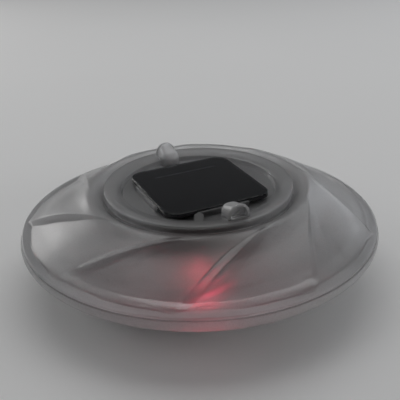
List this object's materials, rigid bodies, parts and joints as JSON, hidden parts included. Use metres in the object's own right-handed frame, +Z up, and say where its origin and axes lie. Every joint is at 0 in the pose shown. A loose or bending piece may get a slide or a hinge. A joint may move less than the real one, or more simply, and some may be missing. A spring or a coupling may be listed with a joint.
{
  "type": "floating pool light",
  "caption": "Floating solar pool light: frosted disc hull with a swirled dome, bayonet lid carrying a square solar panel, and a lamp module inside.",
  "frame": {"origin": "centre of the foot ring's lower face, on the axis of the hull", "axes": "+Z up through the lid along the hull's axis; -Y towards the front, +X to the right seen from the front"},
  "size_m": [0.18, 0.18, 0.055],
  "materials": {
    "frosted_shell": "frosted translucent moulding",
    "lid_plastic": "frosted translucent moulding, clearer than the shells",
    "dark_plastic": "fine moulded texture",
    "black_rubber": "matt",
    "clear_silicone": "translucent cord",
    "steel": "plated screw heads and spring wire",
    "brass": "plated contact metal",
    "green_board": "solder mask",
    "component_black": "moulded component bodies",
    "lamp_red": "lit red lamp",
    "lamp_green": "unlit green lamp",
    "lamp_blue": "unlit blue lamp",
    "holder_black": "moulded",
    "cell_wrap": "shrink sleeve",
    "switch_grey": "switch case",
    "slider_black": "ribbed slider",
    "wire_red": "wire insulation",
    "copper_wire": "tinned copper",
    "pad_foam": "foam bonding pad",
    "panel_black": "black laminate",
    "cell_black": "dark silicon",
    "ribbon_silver": "tinned ribbon",
    "panel_resin": "clear potting resin, gloss"
  },
  "bodies": {
    "hull": {"upper_shell": "frosted_shell", "lower_shell": "frosted_shell", "seam_gasket": "black_rubber", "module_housing": "dark_plastic", "module_gasket": "black_rubber", "housing_screws": "steel", "circuit_board": "green_board", "board_components": "component_black", "board_screws": "steel", "led_red": "lamp_red", "led_green": "lamp_green", "led_blue": "lamp_blue", "battery_holder": "holder_black", "battery_cell": "cell_wrap", "battery_spring": "steel", "battery_contact": "brass", "module_cover": "dark_plastic", "cover_screws": "steel", "switch_body": "switch_grey", "contact_pins": "brass", "supply_wires": "wire_red"},
    "seal": {"lid_seal": "black_rubber"},
    "lid": {"lid": "lid_plastic", "contact_rings": "brass", "panel_leads": "copper_wire", "panel_pad": "pad_foam", "panel_board": "panel_black", "solar_cell": "cell_black", "cell_ribbon": "ribbon_silver", "panel_resin": "panel_resin"},
    "switch_slider": {"switch_slider": "slider_black"}
  },
  "joints": [
    {"name": "lid_lift", "type": "slide", "parent": "hull", "child": "seal", "axis": [0, 0, 1], "range_m": [0, 0.03]},
    {"name": "lid_turn", "type": "hinge", "parent": "seal", "child": "lid", "pos_m": [0, 0, 0.0446], "axis": [0, 0, 1], "range_deg": [-30, 0]},
    {"name": "switch_slide", "type": "slide", "parent": "hull", "child": "switch_slider", "axis": [1, 0, 0], "range_m": [-0.0026, 0]}
  ]
}
